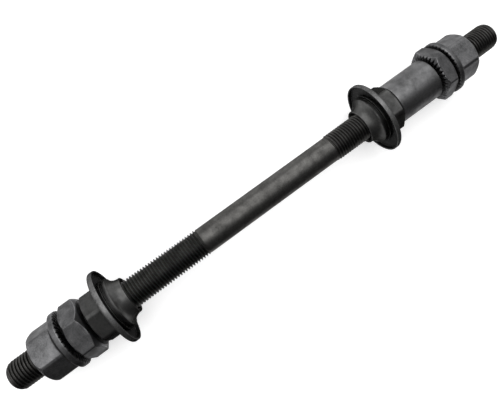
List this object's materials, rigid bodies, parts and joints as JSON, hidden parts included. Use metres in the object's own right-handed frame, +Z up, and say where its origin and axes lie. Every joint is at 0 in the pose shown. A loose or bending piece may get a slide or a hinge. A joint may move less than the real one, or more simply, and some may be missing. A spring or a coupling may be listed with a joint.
{
  "type": "bicycle hub axle",
  "caption": "Solid threaded rear hub axle with bearing cones, pressed dust caps, a spacer tube, hexagon locknuts and flanged, serrated axle nuts.",
  "frame": {"origin": "on the axle's own axis, halfway between its two ends", "axes": "+Y along the axle towards its left end, -Y towards its right end, which carries the spacer; +Z up, +X towards the front of the bicycle"},
  "size_m": [0.0252, 0.19, 0.0252],
  "materials": {
    "rolled_steel": "black oxide, matte, with a fine rolled thread",
    "ground_steel": "hardened and ground, dark grey, satin",
    "pressed_steel": "pressed sheet, dark grey, satin",
    "turned_steel": "turned tube, dark grey, satin",
    "forged_steel": "cold forged, dark grey, matte"
  },
  "bodies": {
    "axle": {"axle": "rolled_steel"},
    "left_cone": {"left_cone": "ground_steel", "left_dust_cap": "pressed_steel"},
    "left_locknut": {"left_locknut": "forged_steel"},
    "left_axle_nut": {"left_axle_nut": "forged_steel"},
    "right_cone": {"right_cone": "ground_steel", "right_dust_cap": "pressed_steel"},
    "right_spacer": {"right_spacer": "turned_steel"},
    "right_locknut": {"right_locknut": "forged_steel"},
    "right_axle_nut": {"right_axle_nut": "forged_steel"}
  },
  "joints": [
    {"name": "left_cone_travel", "type": "slide", "parent": "axle", "child": "left_cone", "axis": [0, -1, 0], "range_m": [0, 0.027]},
    {"name": "left_locknut_travel", "type": "slide", "parent": "left_cone", "child": "left_locknut", "axis": [0, 1, 0], "range_m": [0, 0.005]},
    {"name": "left_axle_nut_travel", "type": "slide", "parent": "left_locknut", "child": "left_axle_nut", "axis": [0, 1, 0], "range_m": [0, 0.009]},
    {"name": "right_cone_travel", "type": "slide", "parent": "axle", "child": "right_cone", "axis": [0, 1, 0], "range_m": [0, 0.0125]},
    {"name": "right_spacer_travel", "type": "slide", "parent": "right_cone", "child": "right_spacer", "axis": [0, -1, 0], "range_m": [0, 0.005]},
    {"name": "right_locknut_travel", "type": "slide", "parent": "right_spacer", "child": "right_locknut", "axis": [0, -1, 0], "range_m": [0, 0.005]},
    {"name": "right_axle_nut_travel", "type": "slide", "parent": "right_locknut", "child": "right_axle_nut", "axis": [0, -1, 0], "range_m": [0, 0.011]}
  ]
}
